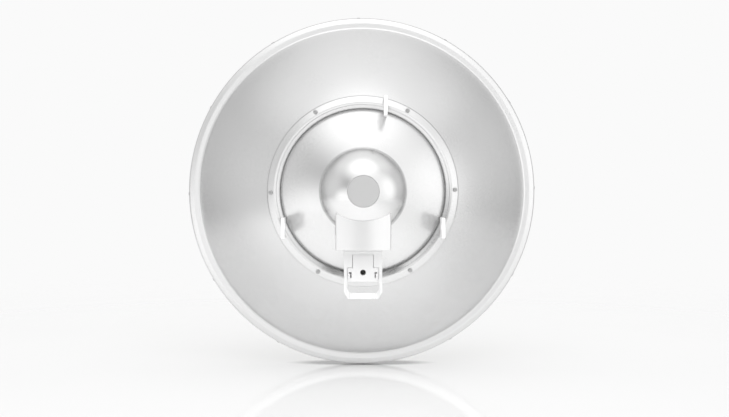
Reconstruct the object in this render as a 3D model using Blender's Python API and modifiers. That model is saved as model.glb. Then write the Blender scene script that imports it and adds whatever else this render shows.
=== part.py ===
"""Point-to-point dish antenna with its pole bracket, as separate solids, in metres.

+Z is up and the dish looks along +Y. The world's origin is on the flat land of the pole bracket,
where a pole bears against it. Most sizes are measured from the rim centre: the point on the
dish's axis in the plane of the rim band's front edge. Behind that plane Y is negative.
"""

import math

import bmesh
import bpy
from mathutils import Matrix, Vector

# Places of the two reference points
LAND_Y = -0.208
LAND_Z = -0.1782
RIM_CENTRE = Vector((0.0, -LAND_Y, -LAND_Z))
PIVOT_Y = -0.2115
PIVOT_Z = -0.0667

GAP = 0.0003
AROUND = 72
CUT_HALF = 0.0600

# Reflector: one paraboloid, in an outer and an inner panel that the back ring joins
DISH_VERTEX_Y = -0.2065
DISH_FOUR_FOCAL = 0.4966
SHEET = 0.002
OUTER_PANEL_FRONT_R = 0.3180
OUTER_PANEL_BACK_R = 0.1588
INNER_PANEL_R = 0.1419
INNER_PANEL_HOLE_R = 0.0200
INNER_LIP_Y = -0.1590
INNER_LIP_R = 0.1484
INNER_STEP_RUN = 0.0015

# Rim band with its visor; the band's outer side as (inset from its radius, Y)
BAND_R = 0.3250
BAND_LIP = 0.0214
BAND_SIDE = (
    (0.0, 0.0),
    (0.0004, -0.0080),
    (0.0016, -0.0150),
    (0.0045, -0.0190),
    (0.0100, -0.0212),
    (BAND_LIP, -0.0245),
)
BAND_SHEET = 0.0020
VISOR_REACH = 0.0207
VISOR_START = math.radians(15.0)
VISOR_FULL = math.radians(20.0)
VISOR_CORNER = 0.0060

# Radome
RADOME_R = 0.3216
RADOME_EDGE_Y = 0.0034
RADOME_CROWN = 0.0446
RADOME_SHEET = 0.0028
RADOME_SKIRT_Y = -0.0045

# Back ring, round outside and square inside, and what stands on it
RING_R = 0.1560
RING_TUBE_R = 0.0104
RING_Y = -0.1665
RING_INNER_R = 0.1448
RING_HEEL_Y = -0.1750
RING_LAND_GAP = 0.0004
RING_BOLT_R = 0.1602
RING_BOLT_TURN = math.radians(0.9)
RING_BOLTS = 6
RING_BOLT_HEAD_R = 0.0037
RING_BOLT_HEAD = 0.0040
RING_BOLT_EDGE = 0.0008

LUG_THICKNESS = 0.0056
LUG_HEIGHT = 0.0350
LUG_BACK_Y = -0.2118
LUG_FRONT_Y = -0.1705
LUG_HOLE = 0.0100
LUG_HOLE_RISE = 0.0020
LUG_CORNER = 0.0065
LUGS = {
    "top_lug": (0.0389, 0.1469),
    "left_lug": (-0.1370, -0.0630),
    "right_lug": (0.1370, -0.0630),
}

# Rear dome
DOME_R = 0.0756
DOME_DEPTH = 0.0570
DOME_CENTRE_Y = -0.2031
DOME_FRONT_Y = -0.1964
DOME_SHEET = 0.0030
DOME_CAP_R = 0.0267
DOME_CAP_SEAT = 0.0030
DOME_CAP_EDGE = 0.0005

# Shroud below the dome, open at the bottom
SHROUD_HALF = 0.0468
SHROUD_BACK_Y = -0.2465
SHROUD_EDGE_Y = -0.2395
SHROUD_WALL = 0.0030
SHROUD_FILLET = 0.0030
SHROUD_BOTTOM_Z = -0.0985
SHROUD_TOP_Z = -0.0340
SHROUD_FRONT_Y = -0.1880
SHROUD_SIDE = (
    (-0.2500, -0.0340),
    (-0.2412, -0.0340),
    (-0.2250, -0.0525),
    (-0.2190, -0.0500),
    (-0.1850, -0.0500),
    (-0.1850, -0.0835),
    (-0.2190, -0.0845),
    (-0.2270, -0.0870),
    (-0.2380, -0.0990),
    (-0.2500, -0.0990),
)
FOOT_INNER_X = 0.0378
FOOT_FRONT_Y = -0.1850
FOOT_BACK_Y = -0.1956
FOOT_LOW_Z = -0.0835
FOOT_HIGH_Z = -0.0660
LINER_WALL = 0.0020
LINER_BACK = 0.0050
LINER_TOP_Z = -0.0538
LINER_PLATE = 0.0017
LINER_BOTTOM_Z = -0.0975
LINER_FRONT_Y = -0.1960
LINER_SIDE = (
    (-0.2500, -0.0500),
    (-0.1900, -0.0500),
    (-0.1900, -0.0825),
    (-0.2190, -0.0835),
    (-0.2270, -0.0860),
    (-0.2380, -0.0975),
    (-0.2500, -0.0975),
)
DOME_CUT_Z = -0.0535
DOME_CUT_HALF = SHROUD_HALF - SHROUD_WALL

PIN_R = 0.0050
PIN_HEAD_R = 0.0065
PIN_HEAD = 0.0014
PIN_INNER_X = 0.0240
PIN_CLEARANCE = 0.0004

# Pole bracket; the outlines seen from the side are (Y, Z)
NECK_HALF = 0.0315
NECK_EYE_R = 0.0072
NECK_SIDE = (
    (-0.2042, -0.0720),
    (-0.1985, -0.0840),
    (-0.1912, -0.0990),
    (-0.1990, -0.1033),
    (-0.2074, -0.1033),
    (-0.2105, -0.0900),
    (-0.2187, -0.0740),
)
YOKE_INNER_X = 0.0215
BAR_TOP_Z = -0.0930
BAR_FRONT_Y = -0.1985
CHEEK_OUTER = 0.0295
CHEEK_INNER = 0.0235
CHEEK_SIDE = (
    (-0.1910, -0.0995),
    (-0.1850, -0.1180),
    (-0.1905, -0.1240),
    (-0.1987, -0.1285),
    (-0.1987, -0.1040),
)
CLAMP_BOLT_R = 0.0070
CLAMP_BOLT_HEAD = 0.0026
CLAMP_BOLT_Y = -0.1895
CLAMP_BOLT_Z = -0.1082
ARM_HALF = 0.0325
ARM_SIDE = (
    (-0.1848, -0.1186),
    (-0.1905, -0.1246),
    (-0.1987, -0.1291),
    (-0.1987, -0.1487),
    (-0.1822, -0.1415),
)
ARM_WINDOW_Y = -0.1760
ARM_WINDOW_R = 0.0158
ARM_BAR_HALF = 0.0060
FRAME_HALF = 0.0327
FRAME_TOP_Z = -0.1037
FRAME_BOTTOM_Z = -0.1836
FRAME_SHOULDER_Z = -0.1716
FRAME_FOOT_X = 0.0258
FRAME_FRONT_Y = -0.1990
FRAME_BACK_Y = -0.2045
FRAME_BAR = 0.0050
TAIL_BACK_Y = -0.2115
TAIL_FRONT_Y = -0.2022
FRAME_SIDE = (
    (-0.1970, -0.1000),
    (-0.1970, -0.1480),
    (TAIL_FRONT_Y, -0.1520),
    (TAIL_FRONT_Y, -0.1900),
    (-0.2135, -0.1900),
    (-0.2135, -0.1600),
    (TAIL_BACK_Y, -0.1600),
    (-0.2070, -0.1470),
    (FRAME_BACK_Y, -0.1380),
    (FRAME_BACK_Y, -0.1000),
)
NOTCH_EDGE = ((0.0292, -0.2135), (0.0292, -0.2111), (0.0270, -0.2090))
TOOTH_TOPS_X = (0.0240, 0.0200, 0.0160)
TOOTH_TOP_Y = -0.2070
TOOTH_RUN = 0.0020
NOTCH_TOP_Z = -0.1560
NOTCH_BOTTOM_Z = -0.2000
TONGUE_NARROW = 0.0176
TONGUE_WIDE = 0.0264
TONGUE_STEP_Z = -0.1312
TONGUE_BOTTOM_Z = -0.1546
TONGUE_SLOT = 0.0007
TONGUE_SET = 0.0004
TONGUE_HOLE_Z = -0.1390
TONGUE_HOLE_R = 0.0049
TONGUE_HOOK = (
    (0.0196, -0.1383),
    (0.0243, -0.1383),
    (0.0243, -0.1408),
    (0.0222, -0.1408),
    (0.0222, -0.1488),
    (0.0196, -0.1488),
)
WINDOW_BOTTOM_Z = -0.1731
WINDOW_SHOULDER_Z = -0.1665
WINDOW_FOOT_X = 0.0232
STRAP_SLOT_Y = -0.2052
STRAP_SLOT_HALF = 0.0125
STRAP_SLOT_WIDTH = 0.0014


for old in list(bpy.data.objects):
    bpy.data.objects.remove(old)

parts = bpy.data.collections.new("dish_antenna")
cutters = bpy.data.collections.new("cutters")
bpy.context.scene.collection.children.link(parts)
bpy.context.scene.collection.children.link(cutters)


def make_material(name, colour, roughness, metallic):
    material = bpy.data.materials.new(name)
    material.use_nodes = True
    shader = material.node_tree.nodes["Principled BSDF"]
    shader.inputs["Base Color"].default_value = (*colour, 1.0)
    shader.inputs["Roughness"].default_value = roughness
    shader.inputs["Metallic"].default_value = metallic
    return material


def dish_y(radius):
    """Y of the paraboloid's outer side at a distance from the axis."""
    return DISH_VERTEX_Y + radius * radius / DISH_FOUR_FOCAL


def steps(first, last, count):
    return [first + (last - first) * i / count for i in range(count + 1)]


def arc(centre, radius, start, end, count):
    """Points on an arc, with the angles in degrees."""
    points = []
    for angle in steps(math.radians(start), math.radians(end), count):
        points.append((centre[0] + radius * math.cos(angle), centre[1] + radius * math.sin(angle)))
    return points


def link(obj, collection, parent=None):
    collection.objects.link(obj)
    if parent:
        obj.parent = parent
        obj.matrix_parent_inverse = parent.matrix_basis.inverted()
    return obj


def empty(name, location):
    obj = bpy.data.objects.new(name, None)
    obj.location = location
    return link(obj, parts)


# The dish head turns on the tilt axis; the pole bracket stays with the pole.
pole_land = empty("pole_land", (0.0, 0.0, 0.0))
tilt_axis = empty("tilt_axis", RIM_CENTRE + Vector((0.0, PIVOT_Y, PIVOT_Z)))


def as_cutter(obj):
    obj.hide_render = True
    obj.display_type = "WIRE"
    return obj


def cut(obj, tool, operation="DIFFERENCE"):
    modifier = obj.modifiers.new(tool.name, "BOOLEAN")
    modifier.operation = operation
    modifier.solver = "EXACT"
    modifier.object = tool


def smooth(obj, angle=35.0):
    obj.data.shade_smooth()
    obj.data.set_sharp_from_angle(angle=math.radians(angle))


def finish_part(obj, parent, material):
    link(obj, parts, parent)
    if not obj.data.materials:
        obj.data.materials.append(make_material(obj.name + "_finish", *material))
    return obj


def turned(name, profile, closed=False, around=AROUND, shell=None):
    """Turn a (radius, y) profile about the dish's axis. It runs from the front to the back on the
    outer side. A shell is an open profile that gets its thickness on the inner side."""
    mesh = bpy.data.meshes.new(name)
    points = [(radius, 0.0, y) for radius, y in profile]
    edges = [(i, i + 1) for i in range(len(points) - 1)]
    if closed:
        edges.append((len(points) - 1, 0))
    mesh.from_pydata(points, edges, [])
    obj = bpy.data.objects.new(name, mesh)
    obj.rotation_euler = (math.radians(-90.0), 0.0, 0.0)
    obj.location = RIM_CENTRE
    screw = obj.modifiers.new("turn", "SCREW")
    screw.axis = "Z"
    screw.steps = around
    screw.render_steps = around
    screw.use_merge_vertices = True
    screw.merge_threshold = 0.00001
    screw.use_smooth_shade = True
    if shell:
        wall = obj.modifiers.new("wall", "SOLIDIFY")
        wall.thickness = shell
        wall.offset = -1.0
        wall.use_even_offset = True
    return obj


PLANES = {
    "XY": Matrix(((1, 0, 0), (0, 1, 0), (0, 0, 1))),
    "XZ": Matrix(((1, 0, 0), (0, 0, -1), (0, 1, 0))),
    "YZ": Matrix(((0, 0, 1), (1, 0, 0), (0, 1, 0))),
}


def plate(name, outlines, plane, low, high):
    """A flat outline with holes, in a plane through the rim centre, extruded from low to high along
    that plane's normal axis, and made a mesh."""
    curve = bpy.data.curves.new(name, "CURVE")
    curve.dimensions = "2D"
    curve.fill_mode = "BOTH"
    curve.extrude = (high - low) / 2
    for outline in outlines:
        spline = curve.splines.new("POLY")
        spline.points.add(len(outline) - 1)
        for point, (u, v) in zip(spline.points, outline):
            point.co = (u, v, 0.0, 1.0)
        spline.use_cyclic_u = True
    turn = PLANES[plane]
    normal = turn @ Vector((0.0, 0.0, 1.0))
    middle = (low + high) / 2 * (-1.0 if plane == "XZ" else 1.0)
    drawn = bpy.data.objects.new(name + "_outline", curve)
    drawn.matrix_world = Matrix.Translation(RIM_CENTRE + normal * middle) @ turn.to_4x4()
    bpy.context.scene.collection.objects.link(drawn)
    bpy.context.view_layer.update()
    graph = bpy.context.evaluated_depsgraph_get()
    mesh = bpy.data.meshes.new_from_object(drawn.evaluated_get(graph))
    shape = bmesh.new()
    shape.from_mesh(mesh)
    bmesh.ops.remove_doubles(shape, verts=shape.verts, dist=0.00001)
    bmesh.ops.recalc_face_normals(shape, faces=shape.faces)
    shape.to_mesh(mesh)
    shape.free()
    solid = bpy.data.objects.new(name, mesh)
    solid.matrix_world = drawn.matrix_world
    bpy.data.objects.remove(drawn)
    return solid


def block(name, low, high):
    """A box between two corners measured from the rim centre."""
    mesh = bpy.data.meshes.new(name)
    shape = bmesh.new()
    bmesh.ops.create_cube(shape, size=1.0)
    size = Vector(high) - Vector(low)
    bmesh.ops.scale(shape, vec=size, verts=shape.verts)
    shape.to_mesh(mesh)
    shape.free()
    obj = bpy.data.objects.new(name, mesh)
    obj.location = RIM_CENTRE + (Vector(low) + Vector(high)) / 2
    return obj


def rod(name, radius, start, end, sides=24):
    """A round bar between two points measured from the rim centre."""
    start = Vector(start)
    end = Vector(end)
    mesh = bpy.data.meshes.new(name)
    shape = bmesh.new()
    bmesh.ops.create_cone(
        shape,
        cap_ends=True,
        segments=sides,
        radius1=radius,
        radius2=radius,
        depth=(end - start).length,
    )
    shape.to_mesh(mesh)
    shape.free()
    obj = bpy.data.objects.new(name, mesh)
    obj.rotation_mode = "QUATERNION"
    obj.rotation_quaternion = (end - start).to_track_quat("Z", "Y")
    obj.location = RIM_CENTRE + (start + end) / 2
    return obj


def bevel(obj, width, segments=2, angle=40.0):
    edge = obj.modifiers.new("edges", "BEVEL")
    edge.width = width
    edge.segments = segments
    edge.limit_method = "ANGLE"
    edge.angle_limit = math.radians(angle)


def mirrored(outline):
    """An outline given for X of 0 or more, closed by its mirror image."""
    return outline + [(-x, y) for x, y in reversed(outline) if x > 0]


SILVER = ((0.74, 0.74, 0.75), 0.35, 0.6)
BRUSHED = ((0.78, 0.78, 0.78), 0.30, 0.9)
WHITE = ((0.90, 0.90, 0.90), 0.50, 0.0)
WARM_WHITE = ((0.87, 0.86, 0.83), 0.60, 0.0)
DARK = ((0.05, 0.05, 0.05), 0.60, 0.0)
STEEL = ((0.55, 0.55, 0.55), 0.35, 1.0)


def make_outer_reflector():
    profile = [(r, dish_y(r)) for r in steps(OUTER_PANEL_FRONT_R, OUTER_PANEL_BACK_R, 9)]
    panel = turned("outer_reflector", profile, shell=SHEET)
    finish_part(panel, tilt_axis, SILVER)


def make_inner_reflector():
    """The inner panel steps forward at its edge, and a flat lip there reaches the back ring."""
    profile = [
        (INNER_LIP_R, INNER_LIP_Y),
        (INNER_PANEL_R + INNER_STEP_RUN, INNER_LIP_Y),
    ]
    profile += [(r, dish_y(r)) for r in steps(INNER_PANEL_R, INNER_PANEL_HOLE_R, 8)]
    panel = turned("inner_reflector", profile, shell=SHEET)
    finish_part(panel, tilt_axis, SILVER)


def make_rim_band():
    """The band's rear edge turns inwards over the outer panel."""
    profile = [(BAND_R - inset, y) for inset, y in BAND_SIDE]
    band = turned("rim_band", profile, shell=BAND_SHEET)
    finish_part(band, tilt_axis, BRUSHED)


def make_visor():
    """The sheet that stands on the band's front edge round the upper half, with slanted ends."""
    inner = BAND_R - BAND_SHEET
    profile = [(BAND_R, VISOR_REACH), (BAND_R, GAP), (inner, GAP), (inner, VISOR_REACH)]
    visor = turned("visor", profile, closed=True)
    low = BAND_R * math.sin(VISOR_START)
    high = BAND_R * math.sin(VISOR_FULL)
    far = BAND_R * 1.2
    past = VISOR_REACH / 2
    outline = [
        (-past, low),
        (0.0, low),
        (VISOR_REACH - VISOR_CORNER * 0.7, high),
        (VISOR_REACH, high + VISOR_CORNER),
        (VISOR_REACH + past, high + VISOR_CORNER),
        (VISOR_REACH + past, far),
        (-past, far),
    ]
    keep = plate("visor_keep", [outline], "YZ", -far, far)
    as_cutter(link(keep, cutters))
    cut(visor, keep, "INTERSECT")
    finish_part(visor, tilt_axis, BRUSHED)


def make_radome():
    """A shallow spherical cap with a short skirt between the band and the outer panel."""
    rise = RADOME_CROWN
    sphere = (RADOME_R * RADOME_R + rise * rise) / (2 * rise)
    top = RADOME_EDGE_Y + rise
    profile = []
    for radius in steps(0.0, RADOME_R, 9):
        profile.append((radius, top - sphere + math.sqrt(sphere * sphere - radius * radius)))
    profile.append((RADOME_R, RADOME_SKIRT_Y))
    radome = turned("radome", profile, shell=RADOME_SHEET)
    finish_part(radome, tilt_axis, WARM_WHITE)


def ring_profile(grow):
    """The back ring's section grown by a gap, with a flat land under the inner panel's lip."""
    land = INNER_LIP_Y - RING_LAND_GAP + grow
    profile = arc((RING_R, RING_Y), RING_TUBE_R + grow, 80.0, -100.0, 9)
    profile += [
        (RING_INNER_R - grow, RING_HEEL_Y - grow),
        (RING_INNER_R - grow, land),
        (INNER_LIP_R + RING_LAND_GAP, land),
    ]
    return profile


def make_back_ring():
    ring = turned("back_ring", ring_profile(0.0), closed=True)
    finish_part(ring, tilt_axis, SILVER)


def make_ring_bolts(ring_cut):
    """Six pan heads on the back of the ring, 60 degrees apart."""
    seat = RING_Y - math.sqrt(RING_TUBE_R**2 - (RING_BOLT_R - RING_R) ** 2)
    for i in range(RING_BOLTS):
        angle = RING_BOLT_TURN + 2 * math.pi * i / RING_BOLTS
        x = RING_BOLT_R * math.cos(angle)
        z = RING_BOLT_R * math.sin(angle)
        bolt = rod(
            f"ring_bolt_{i + 1}",
            RING_BOLT_HEAD_R,
            (x, seat - RING_BOLT_HEAD, z),
            (x, seat + RING_BOLT_HEAD, z),
            sides=16,
        )
        bevel(bolt, RING_BOLT_EDGE)
        cut(bolt, ring_cut)
        finish_part(bolt, tilt_axis, STEEL)


def ring_form():
    """The ring grown by the gap, which cuts what stands on it."""
    form = turned("ring_form", ring_profile(GAP), closed=True)
    return as_cutter(link(form, cutters))


def make_lugs(ring_cut):
    half = LUG_HEIGHT / 2
    hole = LUG_HOLE / 2
    hole_y = LUG_BACK_Y + LUG_CORNER + hole
    for name, (x, z) in LUGS.items():
        corners = (LUG_BACK_Y + LUG_CORNER, half - LUG_CORNER)
        outline = [(LUG_FRONT_Y, z - half), (LUG_FRONT_Y, z + half)]
        outline += arc((corners[0], z + corners[1]), LUG_CORNER, 90.0, 180.0, 4)
        outline += arc((corners[0], z - corners[1]), LUG_CORNER, 180.0, 270.0, 4)
        hole_z = z + LUG_HOLE_RISE
        window = [
            (hole_y - hole, hole_z - hole),
            (hole_y + hole, hole_z - hole),
            (hole_y + hole, hole_z + hole),
            (hole_y - hole, hole_z + hole),
        ]
        lug = plate(name, [outline, window], "YZ", x - LUG_THICKNESS / 2, x + LUG_THICKNESS / 2)
        cut(lug, ring_cut)
        finish_part(lug, tilt_axis, WHITE)


def dome_profile(grow):
    """The dome's outer side from its front edge to the cap's edge, grown by a gap."""
    points = [(DOME_R + grow, DOME_FRONT_Y)]
    for angle in steps(0.0, math.acos(DOME_CAP_R / DOME_R), 7):
        points.append((
            (DOME_R + grow) * math.cos(angle),
            DOME_CENTRE_Y - (DOME_DEPTH + grow) * math.sin(angle),
        ))
    return points


def dome_form():
    """The dome's whole volume, grown by the gap, which cuts the shroud."""
    outer = dome_profile(GAP)
    front = DOME_FRONT_Y + DOME_SHEET
    profile = [(0.0, front), (outer[0][0], front)]
    profile += outer[1:]
    profile += [(0.0, DOME_CENTRE_Y - DOME_DEPTH - GAP)]
    form = turned("dome_form", profile, around=48)
    return as_cutter(link(form, cutters))


def dish_form():
    """The space in front of the inner panel's outer side, grown by the gap."""
    profile = [(0.0, -0.15), (0.16, -0.15)]
    profile += [(r, dish_y(r) - GAP) for r in steps(0.16, 0.0, 12)]
    form = turned("dish_form", profile, around=48)
    return as_cutter(link(form, cutters))


def make_rear_dome(hollow):
    dome = turned("rear_dome", dome_profile(0.0), around=48, shell=DOME_SHEET)
    cut(dome, hollow)
    finish_part(dome, tilt_axis, SILVER)
    seat = DOME_CENTRE_Y - DOME_DEPTH * math.sin(math.acos(DOME_CAP_R / DOME_R))
    cap_r = DOME_CAP_R - GAP
    profile = [
        (0.0, seat + DOME_CAP_SEAT),
        (cap_r - DOME_CAP_SEAT, seat + DOME_CAP_SEAT),
        (cap_r - DOME_CAP_EDGE, seat + DOME_CAP_EDGE),
    ]
    for share in (1.0, 0.66, 0.33, 0.0):
        radius = cap_r * share
        bow = DOME_DEPTH * math.sqrt(1.0 - (radius / DOME_R) ** 2)
        profile.append((radius, DOME_CENTRE_Y - bow))
    cap = turned("dome_cap", profile, around=48)
    finish_part(cap, tilt_axis, SILVER)


def shroud_plan(inset, front_y):
    """Plan of the shroud's outer side moved inwards by inset, as points with X of 0 or more."""
    half = SHROUD_HALF - inset
    back = SHROUD_BACK_Y + inset
    edge = SHROUD_EDGE_Y + inset
    bow = edge - back
    radius = (half * half + bow * bow) / (2 * bow)
    fillet = SHROUD_FILLET - inset * 0.5
    points = []
    for x in steps(0.0, half - fillet, 5):
        points.append((x, back + radius - math.sqrt(radius * radius - x * x)))
    corner = (half - fillet, points[-1][1] + fillet)
    points += arc(corner, fillet, -60.0, 0.0, 2)
    points.append((half, front_y))
    return points


def pivot_bore(name, clearance):
    """A round cutter on the tilt axis, wider than the pin by the clearance."""
    bore = rod(
        name,
        PIN_R + clearance,
        (-CUT_HALF, PIVOT_Y, PIVOT_Z),
        (CUT_HALF, PIVOT_Y, PIVOT_Z),
    )
    return as_cutter(link(bore, cutters))


def make_shroud(dome_cut, dish_cut):
    """A back plate bowed rearwards and two side walls. Its upper edge follows the dome, and its
    front edges land on the inner panel."""
    outer = shroud_plan(0.0, SHROUD_FRONT_Y)
    inner = shroud_plan(SHROUD_WALL, SHROUD_FRONT_Y)
    right = outer[1:]
    ring = [(-x, y) for x, y in reversed(right)] + [outer[0]] + right
    back = [(x, y) for x, y in reversed(inner[1:])] + [inner[0]] + [(-x, y) for x, y in inner[1:]]
    shroud = plate("shroud", [ring + back], "XY", SHROUD_BOTTOM_Z, SHROUD_TOP_Z)
    silhouette = plate("shroud_side", [SHROUD_SIDE], "YZ", -CUT_HALF, CUT_HALF)
    as_cutter(link(silhouette, cutters))
    cut(shroud, silhouette, "INTERSECT")
    for side in (-1.0, 1.0):
        ends = sorted((side * FOOT_INNER_X, side * (SHROUD_HALF - SHROUD_WALL / 2)))
        low = (ends[0], FOOT_BACK_Y, FOOT_LOW_Z)
        high = (ends[1], FOOT_FRONT_Y, FOOT_HIGH_Z)
        foot = block("foot", low, high)
        as_cutter(link(foot, cutters))
        cut(shroud, foot, "UNION")
    cut(shroud, dome_cut)
    cut(shroud, dish_cut)
    cut(shroud, pivot_bore("pin_bore", GAP))
    finish_part(shroud, tilt_axis, WHITE)


def make_liner(dish_cut):
    """Dark tray inside the shroud: a ceiling over the pivot with walls down to the open bottom."""
    inset = SHROUD_WALL + GAP
    outer = shroud_plan(inset, LINER_FRONT_Y)
    tray = plate("shroud_liner", [mirrored(outer)], "XY", LINER_BOTTOM_Z, LINER_TOP_Z)
    inner = shroud_plan(inset + LINER_WALL, LINER_FRONT_Y + CUT_HALF)
    inner = [(x, y + LINER_BACK - LINER_WALL) for x, y in inner]
    room = plate(
        "liner_room",
        [mirrored(inner)],
        "XY",
        LINER_BOTTOM_Z - CUT_HALF,
        LINER_TOP_Z - LINER_PLATE,
    )
    as_cutter(link(room, cutters))
    cut(tray, room)
    silhouette = plate("liner_side", [LINER_SIDE], "YZ", -CUT_HALF, CUT_HALF)
    as_cutter(link(silhouette, cutters))
    cut(tray, silhouette, "INTERSECT")
    cut(tray, dish_cut)
    cut(tray, pivot_bore("liner_bore", GAP))
    finish_part(tray, tilt_axis, DARK)


def make_pivot_pins():
    for name, side in (("left_pivot_pin", -1.0), ("right_pivot_pin", 1.0)):
        pin = rod(
            name,
            PIN_R,
            (side * PIN_INNER_X, PIVOT_Y, PIVOT_Z),
            (side * (SHROUD_HALF + PIN_HEAD), PIVOT_Y, PIVOT_Z),
        )
        head = rod(
            name + "_head",
            PIN_HEAD_R,
            (side * (SHROUD_HALF + GAP), PIVOT_Y, PIVOT_Z),
            (side * (SHROUD_HALF + GAP + PIN_HEAD), PIVOT_Y, PIVOT_Z),
        )
        as_cutter(link(head, cutters))
        cut(pin, head, "UNION")
        finish_part(pin, tilt_axis, WHITE)


def make_neck():
    """Two side plates that hang on the pivot pins, joined by a bar low at their back."""
    outline = arc((PIVOT_Y, PIVOT_Z), NECK_EYE_R, 150.0, 30.0, 6)
    outline += NECK_SIDE
    neck = plate("bracket_neck", [outline], "YZ", -NECK_HALF, NECK_HALF)
    cut(neck, pivot_bore("neck_bore", PIN_CLEARANCE))
    top = (YOKE_INNER_X, BAR_FRONT_Y + CUT_HALF, BAR_TOP_Z + CUT_HALF)
    gap_above = block("yoke_gap", (-YOKE_INNER_X, BAR_FRONT_Y - CUT_HALF, BAR_TOP_Z), top)
    gap_front = block("yoke_front", (-YOKE_INNER_X, BAR_FRONT_Y, BAR_TOP_Z - CUT_HALF), top)
    for gap in (gap_above, gap_front):
        as_cutter(link(gap, cutters))
        cut(neck, gap)
    finish_part(neck, pole_land, WHITE)


def make_cheeks():
    """A plate on each side under the neck, with a round bolt head on its outer face."""
    for name, side in (("left_cheek", -1.0), ("right_cheek", 1.0)):
        ends = sorted((side * CHEEK_INNER, side * CHEEK_OUTER))
        cheek = plate(name, [CHEEK_SIDE], "YZ", ends[0], ends[1])
        finish_part(cheek, pole_land, WHITE)
        bolt = rod(
            name.replace("cheek", "clamp_bolt"),
            CLAMP_BOLT_R,
            (side * (CHEEK_OUTER + GAP), CLAMP_BOLT_Y, CLAMP_BOLT_Z),
            (side * (CHEEK_OUTER + GAP + CLAMP_BOLT_HEAD), CLAMP_BOLT_Y, CLAMP_BOLT_Z),
        )
        finish_part(bolt, pole_land, WHITE)


def make_arm():
    """Slanted slab under the cheeks. A bar divides the round window at its front edge."""
    arm = plate("clamp_arm", [ARM_SIDE], "YZ", -ARM_HALF, ARM_HALF)
    circle = arc((0.0, ARM_WINDOW_Y), ARM_WINDOW_R, 270.0, 360.0, 12)
    chord = math.sqrt(ARM_WINDOW_R**2 - ARM_BAR_HALF**2)
    right = [(ARM_BAR_HALF, ARM_WINDOW_Y - chord)]
    right += [(x, y) for x, y in circle if x > ARM_BAR_HALF]
    right += [(ARM_BAR_HALF, ARM_WINDOW_Y)]
    left = [(-x, y) for x, y in reversed(right)]
    for outline in (left, right):
        window = plate("arm_window", [outline], "XY", FRAME_BOTTOM_Z, FRAME_TOP_Z)
        as_cutter(link(window, cutters))
        cut(arm, window)
    finish_part(arm, pole_land, WHITE)


def make_frame():
    """Pole frame: a plate with a T-shaped opening for the tongue and an open window under it."""
    narrow = TONGUE_NARROW + TONGUE_SLOT
    wide = TONGUE_WIDE + TONGUE_SLOT
    outer = mirrored([
        (0.0, FRAME_TOP_Z),
        (FRAME_HALF, FRAME_TOP_Z),
        (FRAME_HALF, FRAME_SHOULDER_Z),
        (FRAME_FOOT_X, FRAME_BOTTOM_Z),
        (0.0, FRAME_BOTTOM_Z),
    ])
    opening = mirrored([
        (0.0, FRAME_TOP_Z - FRAME_BAR),
        (narrow, FRAME_TOP_Z - FRAME_BAR),
        (narrow, TONGUE_STEP_Z + TONGUE_SLOT),
        (wide, TONGUE_STEP_Z + TONGUE_SLOT),
        (wide, WINDOW_SHOULDER_Z),
        (WINDOW_FOOT_X, WINDOW_BOTTOM_Z),
        (0.0, WINDOW_BOTTOM_Z),
    ])
    frame = plate("pole_frame", [outer, opening], "XZ", TAIL_BACK_Y, FRAME_FRONT_Y)
    silhouette = plate("frame_side", [FRAME_SIDE], "YZ", -CUT_HALF, CUT_HALF)
    as_cutter(link(silhouette, cutters))
    cut(frame, silhouette, "INTERSECT")
    teeth = [(0.0, NOTCH_EDGE[0][1])]
    teeth += NOTCH_EDGE
    for x in TOOTH_TOPS_X:
        teeth.append((x, TOOTH_TOP_Y))
        teeth.append((x - TOOTH_RUN, LAND_Y))
    teeth.append((0.0, LAND_Y))
    notch = plate("pole_notch", [mirrored(teeth)], "XY", NOTCH_BOTTOM_Z, NOTCH_TOP_Z)
    as_cutter(link(notch, cutters))
    cut(frame, notch)
    slot = block(
        "strap_slot",
        (-STRAP_SLOT_HALF, STRAP_SLOT_Y - STRAP_SLOT_WIDTH / 2, FRAME_BOTTOM_Z - SHEET),
        (STRAP_SLOT_HALF, STRAP_SLOT_Y + STRAP_SLOT_WIDTH / 2, WINDOW_BOTTOM_Z + SHEET),
    )
    as_cutter(link(slot, cutters))
    cut(frame, slot)
    finish_part(frame, pole_land, WHITE)


def make_tongue():
    outline = mirrored([
        (0.0, FRAME_TOP_Z - FRAME_BAR - GAP),
        (TONGUE_NARROW, FRAME_TOP_Z - FRAME_BAR - GAP),
        (TONGUE_NARROW, TONGUE_STEP_Z),
        (TONGUE_WIDE, TONGUE_STEP_Z),
        (TONGUE_WIDE, TONGUE_BOTTOM_Z),
        (0.0, TONGUE_BOTTOM_Z),
    ])
    hole = arc((0.0, TONGUE_HOLE_Z), TONGUE_HOLE_R, 0.0, 345.0, 23)
    slots = [[(side * x, z) for x, z in TONGUE_HOOK] for side in (-1.0, 1.0)]
    tongue = plate(
        "clamp_tongue", [outline, hole] + slots, "XZ", FRAME_BACK_Y + TONGUE_SET, FRAME_FRONT_Y
    )
    finish_part(tongue, pole_land, WHITE)


make_outer_reflector()
make_inner_reflector()
make_rim_band()
make_visor()
make_radome()
make_back_ring()
ring_space = ring_form()
make_ring_bolts(ring_space)
make_lugs(ring_space)
dome_solid = dome_form()
dish_space = dish_form()
dome_hollow = block(
    "dome_hollow", (-DOME_CUT_HALF, -0.30, -0.12), (DOME_CUT_HALF, -0.19, DOME_CUT_Z)
)
as_cutter(link(dome_hollow, cutters))
make_rear_dome(dome_hollow)
make_shroud(dome_solid, dish_space)
make_liner(dish_space)
make_pivot_pins()
make_neck()
make_cheeks()
make_arm()
make_frame()
make_tongue()

for part in parts.objects:
    if part.type == "MESH":
        smooth(part)
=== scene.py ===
"""Looks of a point-to-point dish antenna, laid out as an add-on and run as a script.

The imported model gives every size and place. Turned sheets are rebuilt here as smooth closed
sections, mouldings get soft edges, and screws are set in circles by Geometry Nodes.
"""

import math

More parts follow.
